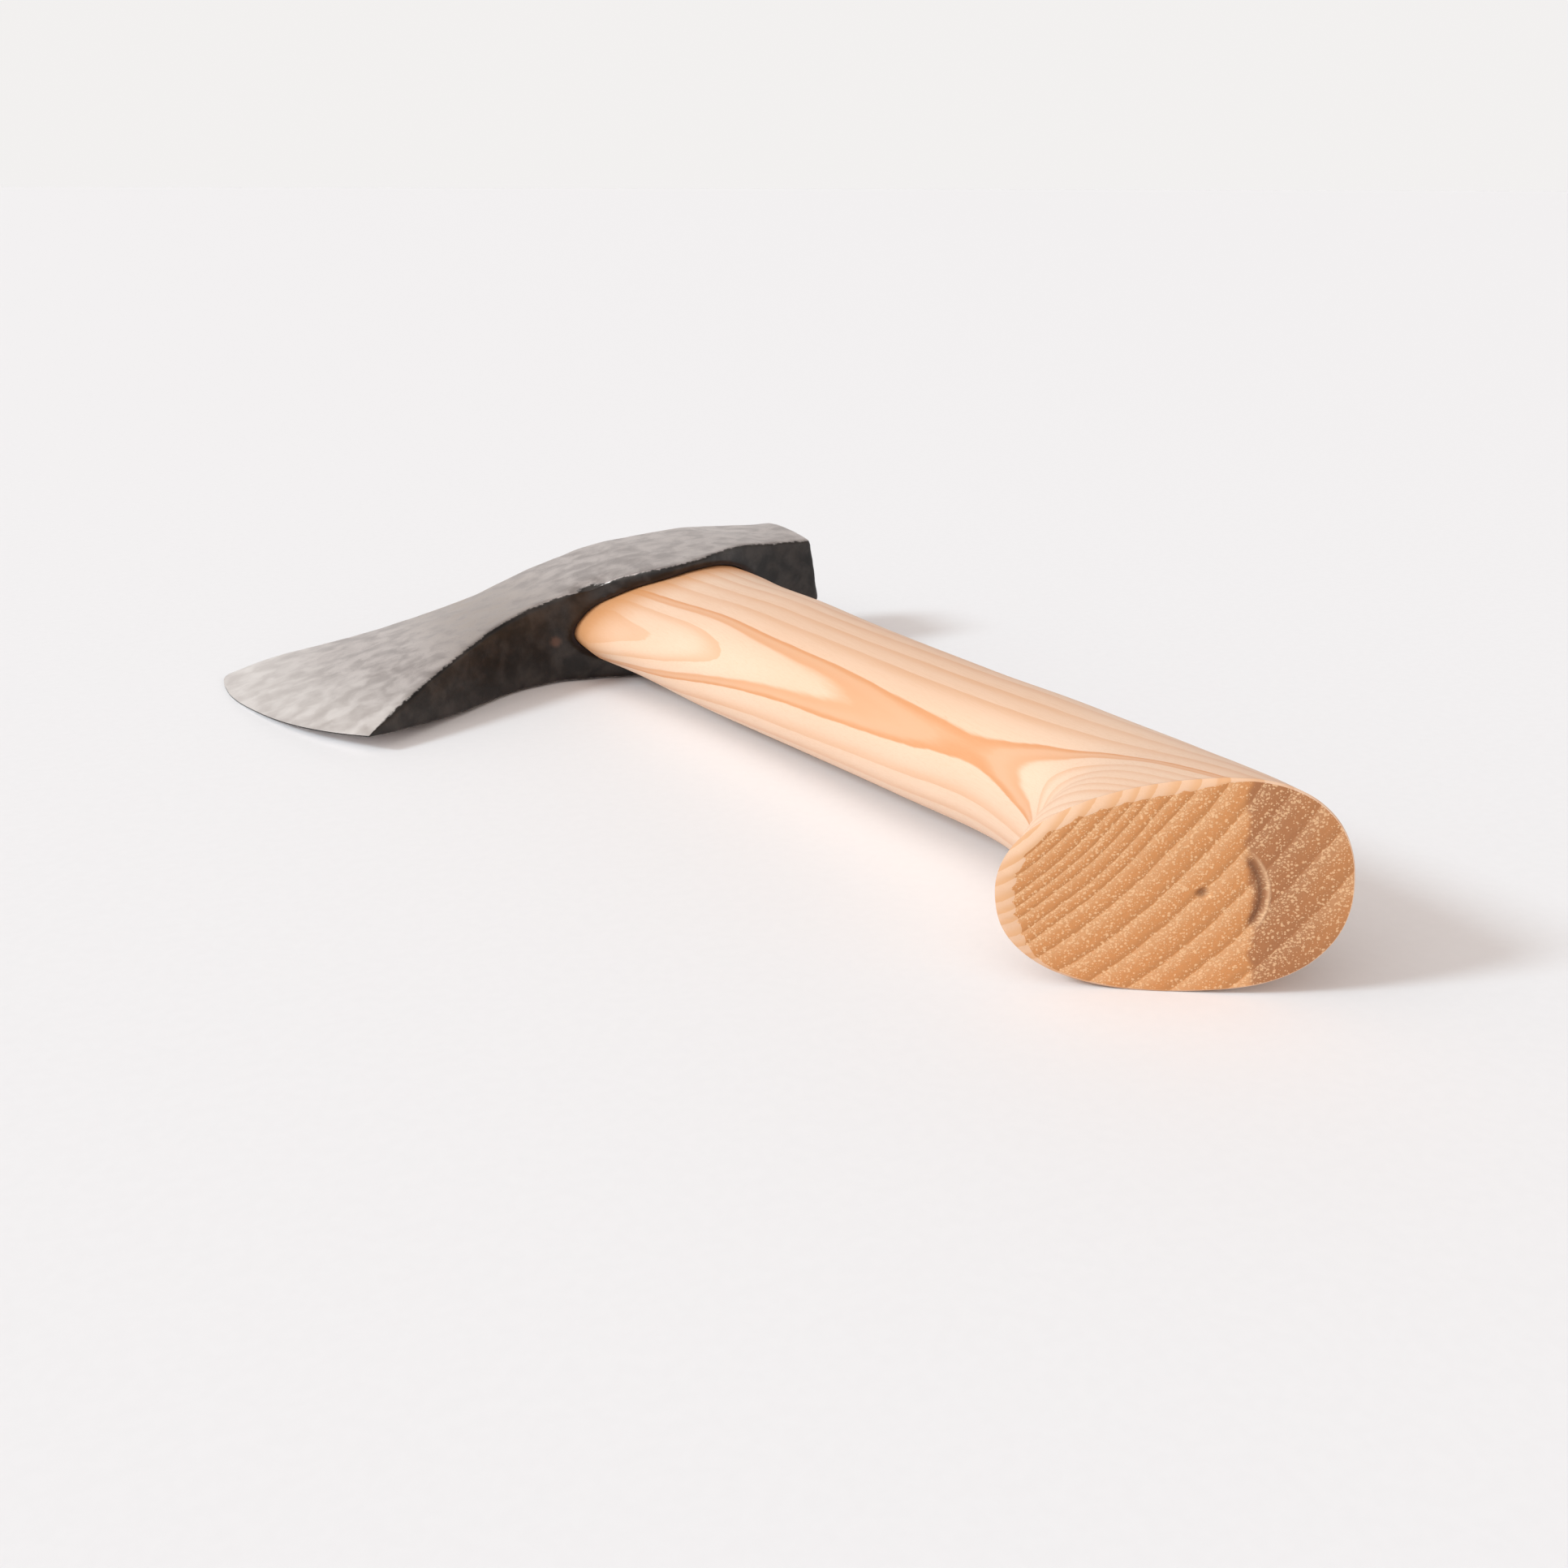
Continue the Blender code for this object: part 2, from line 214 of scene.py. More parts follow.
# Top of the head from the toe to the poll: x, y, half thickness.
TOP = (
    (-102.8, 230.8, 0.15),
    (-92.0, 230.6, 1.3),
    (-64.6, 228.4, 2.8),
    (-42.0, 227.0, 5.8),
    (-26.0, 225.8, 9.6),
    (-6.4, 224.4, 12.3),
    (10.0, 222.6, 12.1),
    (22.0, 221.0, 10.6),
    (34.0, 219.2, 8.9),
    (37.5, 218.8, 8.6),
)
CHEEK_CROWN = 0.5          # extra half thickness at mid height
CORNER = 1.2               # radius of the forged corners
CORNER_STEPS = 5
HEAD_STATIONS = 170
CHEEK_ROWS = 44
WALL_COLUMNS = 40
LUG_HEIGHT = 188.0         # where the outline of the eye is taken for its lower rim
INSIDE_EYE = (196.0, 200.0)     # marks of the underside fade between these heights
MARK_REACH = 0.7           # points further than this from the solid head lie in the eye
LEAD_IN = 1.3              # width of the soft lead-in round the lower rim of the eye
LEAD_DEPTH = 0.9
SURFACE_FADE = (4.0, 26.0)      # distances from the edge over which the forging marks come in
DENT = (-23.0, 188.9, 4.2, 3.5)     # forging dent in front of the upper lug: x, y, two radii
DENT_DEPTH = 1.4
RUST = (-33.0, 0.0, 1.6)        # spot on the underside by the point of the haft: x, z, radius

# ---- resting pose and picture ---------------------------------------------------------------
REST_ROLL = math.radians(-7.72)
REST_TILT = math.radians(-0.63)
CAMERA_PLACE = (-0.11155, -0.27862, 0.10983)
CAMERA_TURN = (math.radians(-25.393), math.radians(70.113), math.radians(0.192))
SKY_SIDE = Vector((-0.8, -0.3, 0.52))       # middle of the brighter part of the surroundings
SUN_SIDE = Vector((-0.85, 0.06, 0.53))      # toward the key light
SKY_LOBE = (0.2, 0.95)     # cosines from SKY_SIDE at its outer and inner end
SKY_RISE = (0.3, 0.65)     # heights over which the horizon gives way to the sky
DIM_SKY = 0.26
BRIGHT_SKY = 1.75
HORIZON = 0.9
SKY_COLOUR = (1.0, 0.915, 0.86)
HORIZON_COLOUR = (0.99, 0.972, 0.962)
SUN_COLOUR = (0.76, 0.92, 1.0)
SUN_ENERGY = 2.0
SUN_WIDTH = math.radians(13.0)
SENSOR = 36.0
CAMERA_LENS = 37.96
CLIP = (0.01, 200.0)
FLOOR_HALF = 60.0          # half width of the floor, in metres like the camera's values


# ---- numbers --------------------------------------------------------------------------------
def smooth_column(table, column, at):
    """Monotone cubic through one column of a station table, at many places."""
    x = np.array([row[0] for row in table])
    v = np.array([row[column] for row in table])
    gap = np.diff(x)
    rise = np.diff(v) / gap
    slope = np.zeros(len(x))
    slope[0] = rise[0]
    slope[-1] = rise[-1]
    for i in range(1, len(x) - 1):
        if rise[i - 1] * rise[i] > 0.0:
            before = 2.0 * gap[i] + gap[i - 1]
            after = gap[i] + 2.0 * gap[i - 1]
            slope[i] = (before + after) / (before / rise[i - 1] + after / rise[i])
    at = np.clip(np.asarray(at, float), x[0], x[-1])
    k = np.clip(np.searchsorted(x, at, side="right") - 1, 0, len(gap) - 1)
    t = (at - x[k]) / gap[k]
    start = (1.0 + 2.0 * t) * (1.0 - t) ** 2 * v[k] + t * (1.0 - t) ** 2 * gap[k] * slope[k]
    end = t * t * (3.0 - 2.0 * t) * v[k + 1] + t * t * (t - 1.0) * gap[k] * slope[k + 1]
    return start + end


def ease(value, low, high):
    """Zero below low, one above high, smooth between."""
    t = np.clip((np.asarray(value, float) - low) / (high - low), 0.0, 1.0)
    return t * t * (3.0 - 2.0 * t)


def signed_power(value, exponent):
    """Power of the size of a value, with its sign kept."""
    return np.sign(value) * np.abs(value) ** exponent


def roughness_at(points, size, octaves):
    """Fractal noise of about -1 to 1 at points in millimetres, for bumps of one size."""
    return np.array([noise.fractal(Vector(p) / size, 1.0, 2.0, octaves) for p in points])


# ---- meshes ---------------------------------------------------------------------------------
def make_mesh(name, points, faces, slots=None):
    """Mesh object from points in millimetres, with outward normals."""
    mesh = bpy.data.meshes.new(name)
    mesh.from_pydata([tuple(p) for p in np.asarray(points) * MM], [], faces)
    if slots is not None:
        mesh.polygons.foreach_set("material_index", np.asarray(slots, np.int32))
    body = bmesh.new()
    body.from_mesh(mesh)
    bmesh.ops.recalc_face_normals(body, faces=body.faces)
    body.to_mesh(mesh)
    body.free()
    item = bpy.data.objects.new(name, mesh)
    bpy.context.scene.collection.objects.link(item)
    return item


def ring_faces(first, second, count):
    """Quads between two rings that start at two point numbers."""
    quads = []
    for i in range(count):
        j = (i + 1) % count
        quads.append((first + i, first + j, second + j, second + i))
    return quads


def loft(name, rings, slots=None):
    """Closed solid through rings of equal length, with a point in the middle of each end."""
    rings = np.asarray(rings, float)
    total, count = rings.shape[:2]
    points = np.vstack([rings.reshape(-1, 3), rings[0].mean(0), rings[-1].mean(0)])
    faces = []
    kinds = []
    for i in range(total - 1):
        faces += ring_faces(i * count, (i + 1) * count, count)
        kinds += [0 if slots is None else slots[i]] * count
    for ring, middle in ((0, total * count), (total - 1, total * count + 1)):
        for i in range(count):
            faces.append((ring * count + i, ring * count + (i + 1) % count, middle))
            kinds.append(0 if slots is None else slots[min(ring, total - 2)])
    return make_mesh(name, points, faces, kinds)


def carve(item, cutters):
    """Exact difference of cutters from an item, applied to its mesh; the cutters are removed."""
    for cutter in cutters:
        step = item.modifiers.new(cutter.name, "BOOLEAN")
        step.operation = "DIFFERENCE"
        step.solver = "EXACT"
        step.object = cutter
    bpy.context.view_layer.update()
    graph = bpy.context.evaluated_depsgraph_get()
    carved = bpy.data.meshes.new_from_object(item.evaluated_get(graph))
    item.modifiers.clear()
    old = item.data
    item.data = carved
    bpy.data.meshes.remove(old)
    for cutter in cutters:
        bpy.data.objects.remove(cutter, do_unlink=True)


def vertex_vectors(item, key):
    """One vector of each vertex, such as its place or normal, in the mesh's own units."""
    flat = np.zeros(len(item.data.vertices) * 3, np.float32)
    item.data.vertices.foreach_get(key, flat)
    return flat.reshape(-1, 3)


def put_points(item, points):
    """Set the place of each vertex, in the mesh's own units."""
    item.data.vertices.foreach_set("co", points.astype(np.float32).ravel())
    item.data.update()


def points_of(item):
    """Points of a mesh in millimetres."""
    return vertex_vectors(item, "co").astype(float) / MM


def move_along_normals(item, amounts):
    """Move each point of a mesh along its normal by an amount in millimetres."""
    moved = points_of(item) + vertex_vectors(item, "normal") * amounts[:, None]
    put_points(item, moved * MM)


def store(item, name, values):
    """Keep one number for each point of a mesh, for its material."""
    layer = item.data.attributes.new(name, "FLOAT", "POINT")
    layer.data.foreach_set("value", np.asarray(values, np.float32))


def keep_place(item):
    """Keep each point's place in the working frame, in millimetres, for the solid textures."""
    layer = item.data.attributes.new("place", "FLOAT_VECTOR", "POINT")
    layer.data.foreach_set("vector", points_of(item).astype(np.float32).ravel())


def soft_shading(item, degrees):
    """Smooth shading with creases kept above an angle."""
    item.data.shade_smooth()
    item.data.set_sharp_from_angle(angle=math.radians(degrees))


# ---- haft -----------------------------------------------------------------------------------
def oval(front, back, half, belly, roundness):
    """Outline of an oval that is thickest at the belly."""
    angle = np.linspace(0.0, 2.0 * math.pi, HAFT_SIDES, endpoint=False)
    c = np.cos(angle)
    s = np.sin(angle)
    reach = np.where(c > 0.0, back - belly, belly - front)
    power = 2.0 / np.where(c > 0.0, roundness[1], roundness[0])
    x = belly + reach * signed_power(c, power)
    z = half * signed_power(s, power)
    return x, z


def grip_ring(y, inset=0.0, depth=0.0):
    """Ring of the grip at a distance from the knob face; inset and depth may vary round it."""
    front, back, half, belly = (float(smooth_column(GRIP, c, y)) for c in (1, 2, 3, 4))
    share = float(ease(y, POINT_START, GRIP_END))
    roundness = [GRIP_ROUNDNESS + (end - GRIP_ROUNDNESS) * share for end in EYE_ROUNDNESS]
    x, z = oval(front, back, half, belly, roundness)
    dx = np.roll(x, -1) - np.roll(x, 1)
    dz = np.roll(z, -1) - np.roll(z, 1)
    size = np.hypot(dx, dz)
    inset = inset + SKIN
    x = x - inset * dz / size
    z = z + inset * dx / size
    height = y + depth
    slant = (1.0 - ease(height, 0.0, KNOB_FADE)) * math.tan(KNOB_SLANT)
    return np.stack([x, height + slant * x, z], 1)


def eye_ring(y, inset):
    """Ring of the eye at a height, pulled in by an inset."""
    front = float(smooth_column(EYE, 1, y)) + inset
    back = float(smooth_column(EYE, 2, y)) - inset
    half = float(smooth_column(EYE, 3, y)) - inset
    x, z = oval(front, back, half, EYE_BELLY, EYE_ROUNDNESS)
    return np.stack([x, np.full(len(x), y), z], 1)


def ring_radius(points):
    """Distance from the tree's centre line, with the slow wander of real growth rings."""
    points = np.asarray(points, float)
    radius = np.hypot(points[:, 0] - PITH[0], points[:, 2] - PITH[1])
    radius = radius + smooth_column(RING_DRIFT, 1, points[:, 1])
    wander = [noise.noise(Vector((p[0] / 26.0, p[1] / 90.0, p[2] / 26.0))) for p in points]
    ripple = [noise.noise(Vector((p[0] / 7.0, p[1] / 34.0 + 9.0, p[2] / 7.0))) for p in points]
    return radius + 0.3 * np.array(wander) + 0.3 * np.array(ripple)


def ring_count(radius):
    """Number of growth rings inside a radius; its fraction is the place within one ring."""
    return np.interp(radius, RING_EDGES, range(len(RING_EDGES)))


def chamfer_share(ring):
    """How much of the nose chamfer each point of the rim carries."""
    x = ring[:, 0]
    z = ring[:, 2]
    upper = ease(-x, -8.0, 2.0) * ease(z, -2.0, 4.0)
    nose = ease(-x, 12.0, 20.0) * ease(z, -12.0, -4.0)
    return np.maximum(0.8 * upper, nose)


def knob_rings():
    """Rings of the knob face from its middle out to the rim, then down over the chamfer."""
    rim = grip_ring(0.0)
    share = chamfer_share(rim)
    late = np.mod(ring_count(ring_radius(rim)), 1.0)
    scallop = ease(late, 0.55, 0.95) * (1.0 - ease(late, 0.95, 1.0))
    width = RIM + NOSE * share - 0.55 * scallop * share
    depth = 0.4 + 0.55 * share
    edge = grip_ring(0.0, width)
    middle = np.array([DIMPLE[0], DIMPLE[0] * math.tan(KNOB_SLANT), DIMPLE[1]])
    face = [middle + (edge - middle) * t for t in np.linspace(0.004, 1.0, FACE_RINGS)]
    for t in (0.3, 0.6, 0.85, 1.0):
        face.append(grip_ring(0.0, width * (1.0 - t), depth * t ** 1.4))
    return face


def knob_relief(points):
    """Height of the knob face: dimple, and tool mark with its lifted fibre."""
    x = points[:, 0]
    z = points[:, 2]
    from_dimple = np.hypot(x - DIMPLE[0], z - DIMPLE[1])
    dimple = np.clip(1.0 - from_dimple / DIMPLE[2], 0.0, 1.0)
    angle = np.arctan2(z - TOOL_MARK[1], x - TOOL_MARK[0])
    off = np.hypot(x - TOOL_MARK[0], z - TOOL_MARK[1]) - TOOL_MARK[2]
    run = 1.0 - ease(np.abs(angle), 0.6 * TOOL_MARK_HALF_ANGLE, TOOL_MARK_HALF_ANGLE)
    width = 0.16 + 0.42 * run
    groove = run * np.exp(-(off / width) ** 2)
    lip = run * np.exp(-((off - 0.85) / 0.2) ** 2)
    height = -DIMPLE[3] * dimple ** 0.7 - 0.4 * groove + 0.14 * lip
    return height, np.clip(dimple * 1.6, 0.0, 1.0), groove, lip


def lay_knob(rings):
    """Press the relief and a slight saw waviness into the rings of the knob face."""
    outward = np.array([math.sin(KNOB_SLANT), -math.cos(KNOB_SLANT), 0.0])
    for i in range(FACE_RINGS):
        height = knob_relief(rings[i])[0]
        wave = 0.035 * roughness_at(rings[i], 5.0, 3) - 0.035
        inside = 1.0 if i < FACE_RINGS - 1 else 0.0
        rings[i] = rings[i] + np.outer(height * inside + wave, outward)
    return rings


def build_haft(materials):
    """Haft with its knob face, grip and slotted tongue."""
    rings = lay_knob(knob_rings())
    slots = [1] * (FACE_RINGS - 1) + [0] * 4
    along = np.linspace(0.0, 1.0, GRIP_RINGS) ** 1.12
    for y in GRIP_START + (GRIP_END - GRIP_START) * along:
        rings.append(grip_ring(y))
        slots.append(0)
    for y in np.linspace(TONGUE_START, HAFT_TOP - 0.5, TONGUE_RINGS):
        rings.append(eye_ring(y, FIT_GAP))
        slots.append(0)
    rings.append(eye_ring(HAFT_TOP, FIT_GAP + TOP_ROUND))
    slots.append(0)
    last = rings[-1]
    centre = last.mean(0)
    for t in np.linspace(0.92, 0.05, TOP_RINGS):
        rings.append(centre + (last - centre) * t)
        slots.append(1)
    haft = loft("haft_fine", rings, slots)
    for material in materials:
        haft.data.materials.append(material)
    kerf = wedge_rings(WEDGE_DEPTH + KERF_SPARE, 80.0, WEDGE_TOP_HALF + FIT_GAP,
                       WEDGE_TIP_HALF + FIT_GAP, HAFT_TOP + CUT_PROUD)
    carve(haft, [loft("kerf", kerf), steel_slot()])
    dress_haft(haft)
    return haft


def dress_haft(haft):
    """Numbers that the wood materials read from the haft's points."""
    points = points_of(haft)
    store(haft, "ring_count", ring_count(ring_radius(points)))
    from_face = points[:, 1] - math.tan(KNOB_SLANT) * points[:, 0]
    on_face = from_face < 1.0
    _, dimple, groove, lip = knob_relief(points)
    nose = 1.0 - ease(points[:, 0], 4.0, 12.0)
    # The masks of the dimple and the groove carry painted shade, and the lip's mask carries a
    # painted highlight.
    store(haft, "dimple", dimple * on_face)
    store(haft, "chamfer", (1.0 - ease(from_face, 0.5, 1.9)) * nose)
    store(haft, "groove", groove * on_face)
    store(haft, "lip", lip * on_face)
    soft_shading(haft, 34.0)


# ---- wedges ---------------------------------------------------------------------------------
def rounded_box(width, half, corner, y):
    """Rounded rectangle at one height, wide along x and thin along z."""
    points = []
    for turn in range(4):
        sx = 1.0 if turn in (0, 3) else -1.0
        sz = 1.0 if turn in (0, 1) else -1.0
        for step in range(CORNER_POINTS):
            a = (turn + step / (CORNER_POINTS - 1.0)) * math.pi / 2.0
            x = sx * (width / 2.0 - corner) + corner * math.cos(a)
            z = sz * (half - corner) + corner * math.sin(a)
            points.append((x, y, z))
        following = (turn + 1) % 4
        nx = 1.0 if following in (0, 3) else -1.0
        nz = 1.0 if following in (0, 1) else -1.0
        here = np.array(points[-1])
        a = following * math.pi / 2.0
        there = np.array((nx * (width / 2.0 - corner) + corner * math.cos(a), y,
                          nz * (half - corner) + corner * math.sin(a)))
        count = WIDE_STEPS if turn in (0, 2) else THIN_STEPS
        for t in np.linspace(0.0, 1.0, count + 1)[1:-1]:
            points.append(tuple(here + (there - here) * t))
    return np.array(points)


def wedge_rings(depth, width, top_half, tip_half, height):
    """Plain tapered block as two rings, for cutting."""
    rings = []
    for y, half in ((height - depth, tip_half), (height, top_half)):
        rings.append([(-width / 2.0, y, -half), (width / 2.0, y, -half), (width / 2.0, y, half),
                      (-width / 2.0, y, half)])
    return np.array(rings)


def across(rings):
    """Turn rings a quarter about the haft's long axis and set them on the wooden wedge."""
    return np.stack([rings[..., 2] + STEEL_X, rings[..., 1], -rings[..., 0]], -1)


def steel_slot():
    """Cutter of the cross slot that the steel wedge sits in."""
    rings = wedge_rings(STEEL_DEPTH + SLOT_SPARE, STEEL_WIDTH + 2.0 * FIT_GAP,
                        STEEL_TOP_HALF + FIT_GAP, STEEL_TIP_HALF + FIT_GAP, HAFT_TOP + CUT_PROUD)
    return loft("slot", across(rings))


def fine_wedge(depth, width, top_half, tip_half, height, corner):
    """Rings of a tapered block with rounded edges and a finely divided driven end."""
    rings = []
    for t in np.linspace(0.0, 1.0, 24):
        half = tip_half + (top_half - tip_half) * t - SKIN
        rings.append(rounded_box(width - 2.0 * SKIN, half, min(corner, half * 0.9),
                                 height - depth * (1.0 - t) - corner * (t == 1.0)))
    top = rounded_box(width - 2.0 * (SKIN + corner), top_half - SKIN - corner * 0.8, 0.12, height)
    rings.append(top)
    centre = top.mean(0)
    for t in np.linspace(0.9, 0.1, 9):
        rings.append(centre + (top - centre) * t)
    return np.array(rings)


def build_wedges():
    """Wooden wedge in the kerf and the steel one driven across it."""
    front = float(smooth_column(EYE, 1, HAFT_TOP))
    back = float(smooth_column(EYE, 2, HAFT_TOP))
    rings = fine_wedge(WEDGE_DEPTH, back - front - 4.0, WEDGE_TOP_HALF, WEDGE_TIP_HALF,
                       HAFT_TOP, 0.25)
    rings[..., 0] += (front + back) / 2.0
    wooden = loft("wood_wedge_fine", rings)
    rough = roughness_at(points_of(wooden), 1.6, 3)
    top = ease(points_of(wooden)[:, 1], HAFT_TOP - 1.0, HAFT_TOP)
    move_along_normals(wooden, -top * (0.16 + 0.14 * rough))
    carve(wooden, [steel_slot()])
    soft_shading(wooden, 40.0)
    rings = fine_wedge(STEEL_DEPTH, STEEL_WIDTH, STEEL_TOP_HALF, STEEL_TIP_HALF,
                       HAFT_TOP + STEEL_PROUD, 0.22)
    steel = loft("steel_wedge_fine", across(rings))
    rough = roughness_at(points_of(steel), 2.4, 3)
    top = ease(points_of(steel)[:, 1], HAFT_TOP - 0.8, HAFT_TOP + 0.3)
    move_along_normals(steel, -top * (0.1 + 0.09 * rough))
    soft_shading(steel, 40.0)
    return wooden, steel


# ---- head -----------------------------------------------------------------------------------
def cheek(along, up):
    """Place and half thickness on the cheek: along 0 poll to 1 edge, up 0 under to 1 top."""
    low_x = POLL_X + (HEEL[0] - POLL_X) * along
    high_x = POLL_X + (TOE[0] - POLL_X) * along
    low_y = smooth_column(UNDERSIDE, 1, low_x)
    high_y = smooth_column(TOP, 1, high_x)
    low_half = smooth_column(UNDERSIDE, 2, low_x)
    high_half = smooth_column(TOP, 2, high_x)
    arch = 1.0 - np.abs(2.0 * up - 1.0) ** EDGE_ARC
    x = low_x + (high_x - low_x) * up - EDGE_BULGE * arch * along ** 3
    past = np.clip(1.0 - (1.0 - up) * (high_y - low_y) / TOE_ROUND, 0.0, 1.0)
    x = x + TOE_ROUND * (1.0 - np.sqrt(1.0 - past * past)) * along ** 12
    y = low_y + (high_y - low_y) * up
    half = low_half + (high_half - low_half) * up + CHEEK_CROWN * arch * (1.0 - along ** 4)
    return x, y, np.maximum(half, EDGE_HALF)


def head_ring(along, inset):
    """Ring of the solid head at a station, its rows and its wall columns evenly divided."""
    low = cheek(along, 0.0)
    high = cheek(along, 1.0)
    span = float(high[1] - low[1])
    turns = np.linspace(0.0, math.pi / 2.0, CORNER_STEPS)
    ups = []
    backs = []
    for end, half in ((0, float(low[2])), (1, float(high[2]))):
        soft = min(CORNER, 0.45 * half)
        depth = (inset + soft * (1.0 - np.cos(turns))) / span
        back = inset + soft * (1.0 - np.sin(turns))
        ups.append(depth if end == 0 else 1.0 - depth[::-1])
        backs.append(back if end == 0 else back[::-1])
    inner = ups[0][-1] + (ups[1][0] - ups[0][-1]) * np.linspace(0.0, 1.0, CHEEK_ROWS)[1:-1]
    up = np.concatenate([ups[0], inner, ups[1]])
    back = np.concatenate([backs[0], np.full(len(inner), inset), backs[1]])
    x, y, half = cheek(np.full(len(up), along), up)
    half = np.maximum(half - back, EDGE_HALF)
    upper = np.stack([x, y, half], 1)
    lower = upper * (1.0, 1.0, -1.0)
    share = np.linspace(0.0, 1.0, WALL_COLUMNS)[1:-1, None]
    top_wall = upper[-1] + (lower[-1] - upper[-1]) * share
    low_wall = lower[0] + (upper[0] - lower[0]) * share
    return np.vstack([upper, top_wall, lower[::-1], low_wall])


def head_rows():
    """Number of rows on one cheek of the head's rings."""
    return 2 * CORNER_STEPS + CHEEK_ROWS - 2


def close_grid(points, faces, ring, start):
    """Close an end of the head with a grid between its two cheeks."""
    rows = head_rows()
    columns = WALL_COLUMNS
    upper = [start + i for i in range(rows)]
    top_wall = [start + rows + j for j in range(columns - 2)]
    lower = [start + rows + columns - 2 + i for i in range(rows)][::-1]
    low_wall = [start + 2 * rows + columns - 2 + j for j in range(columns - 2)][::-1]
    grid = []
    for i in range(rows):
        if i == 0:
            line = [upper[0]] + low_wall + [lower[0]]
        elif i == rows - 1:
            line = [upper[-1]] + top_wall + [lower[-1]]
        else:
            a = ring[i]
            b = ring[rows + columns - 2 + rows - 1 - i]
            line = [upper[i]]
            for t in np.linspace(0.0, 1.0, columns)[1:-1]:
                line.append(len(points))
                points.append(a + (b - a) * t)
            line.append(lower[i])
        grid.append(line)
    for low, high in zip(grid, grid[1:]):
        for j in range(columns - 1):
            faces.append((low[j], low[j + 1], high[j + 1], high[j]))


def build_head():
    """Forged head with its eye, and the numbers its material reads."""
    length = POLL_X - HEEL[0]
    turns = np.linspace(0.0, math.pi / 2.0, CORNER_STEPS)
    rings = []
    for t in turns:
        rings.append(head_ring(CORNER * (1.0 - math.cos(t)) / length, CORNER * (1.0 - math.sin(t))))
    first = CORNER / length
    for s in np.linspace(first, 1.0, HEAD_STATIONS)[1:]:
        rings.append(head_ring(float(s), 0.0))
    count = len(rings[0])
    points = [p for ring in rings for p in ring]
    faces = []
    for i in range(len(rings) - 1):
        faces += ring_faces(i * count, (i + 1) * count, count)
    close_grid(points, faces, rings[0], 0)
    close_grid(points, faces, rings[-1], (len(rings) - 1) * count)
    head = make_mesh("head_fine", points, faces)
    marks = head_marks(head, rings)
    hammer(head, marks)
    before = points_of(head)
    heights = np.linspace(EYE[0][0] - EYE_OVERRUN, EYE[-1][0] + EYE_OVERRUN, 15)
    carve(head, [loft("eye", [eye_ring(y, 0.0) for y in heights])])
    keep_marks(head, before, marks)
    soft_shading(head, 38.0)
    return head


def edge_distance(points):
    """Distance in millimetres from the cutting edge, measured along x."""
    up = np.clip((points[:, 1] - HEEL[1]) / (TOE[1] - HEEL[1]), 0.0, 1.0)
    edge_x = cheek(np.ones(len(points)), up)[0]
    return points[:, 0] - edge_x


def head_marks(head, rings):
    """For each point of the solid head: one on the walls, zero on the cheeks, less at corners."""
    rows = head_rows()
    ring = np.ones(len(rings[0]))
    profile = np.zeros(rows)
    # The forged corners take part of the black as painted shade, so that their rounding catches no
    # highlight.
    profile[:CORNER_STEPS] = np.linspace(1.0, 0.3, CORNER_STEPS)
    profile[rows - CORNER_STEPS:] = np.linspace(0.3, 1.0, CORNER_STEPS)
    ring[:rows] = profile
    ring[rows + WALL_COLUMNS - 2:2 * rows + WALL_COLUMNS - 2] = profile[::-1]
    marks = np.ones(len(head.data.vertices))
    marks[:len(rings) * len(ring)] = np.tile(ring, len(rings))
    for i in range(CORNER_STEPS - 1):
        part = slice(i * len(ring), (i + 1) * len(ring))
        marks[part] = np.maximum(marks[part], 1.0 - i / (CORNER_STEPS - 1.0))
    return marks


def hammer(head, marks):
    """Press the shallow unevenness of forging into the head."""
    points = points_of(head)
    shown = ease(edge_distance(points), *SURFACE_FADE)
    broad = roughness_at(points, 11.0, 3)
    fine = roughness_at(points + 50.0, 2.6, 2)
    press = (0.11 + 0.15 * marks) * (0.8 + broad) + (0.03 + 0.05 * marks) * fine
    press = press + DENT_DEPTH * lug_dent(points) + LEAD_DEPTH * eye_rim(points)
    skin = SKIN * np.minimum(1.0, 0.5 + shown)
    move_along_normals(head, -(skin + np.maximum(press, 0.0) * shown))


def lug_dent(points):
    """One in the middle of the dent in front of the upper lug, fading to zero round it."""
    along = (points[:, 0] - DENT[0]) / DENT[2]
    up = (points[:, 1] - DENT[1]) / DENT[3]
    return np.exp(-along ** 2 - up ** 2) * (points[:, 2] > 0.0)


def eye_rim(points):
    """One at the outline of the eye on the underside of the head, zero a lead-in away from it."""
    middle = np.array([EYE_BELLY, 0.0])
    outline = eye_ring(LUG_HEIGHT, 0.0)[:, ::2] - middle
    flat = points[:, ::2] - middle
    turn = np.arctan2(outline[:, 1], outline[:, 0])
    order = np.argsort(turn)
    reach = np.hypot(outline[:, 0], outline[:, 1])
    toward = np.arctan2(flat[:, 1], flat[:, 0])
    at = np.interp(toward, turn[order], reach[order], period=2.0 * math.pi)
    gap = np.hypot(flat[:, 0], flat[:, 1]) - at
    return (1.0 - ease(gap, 0.0, LEAD_IN)) * (1.0 - ease(points[:, 1], *INSIDE_EYE))


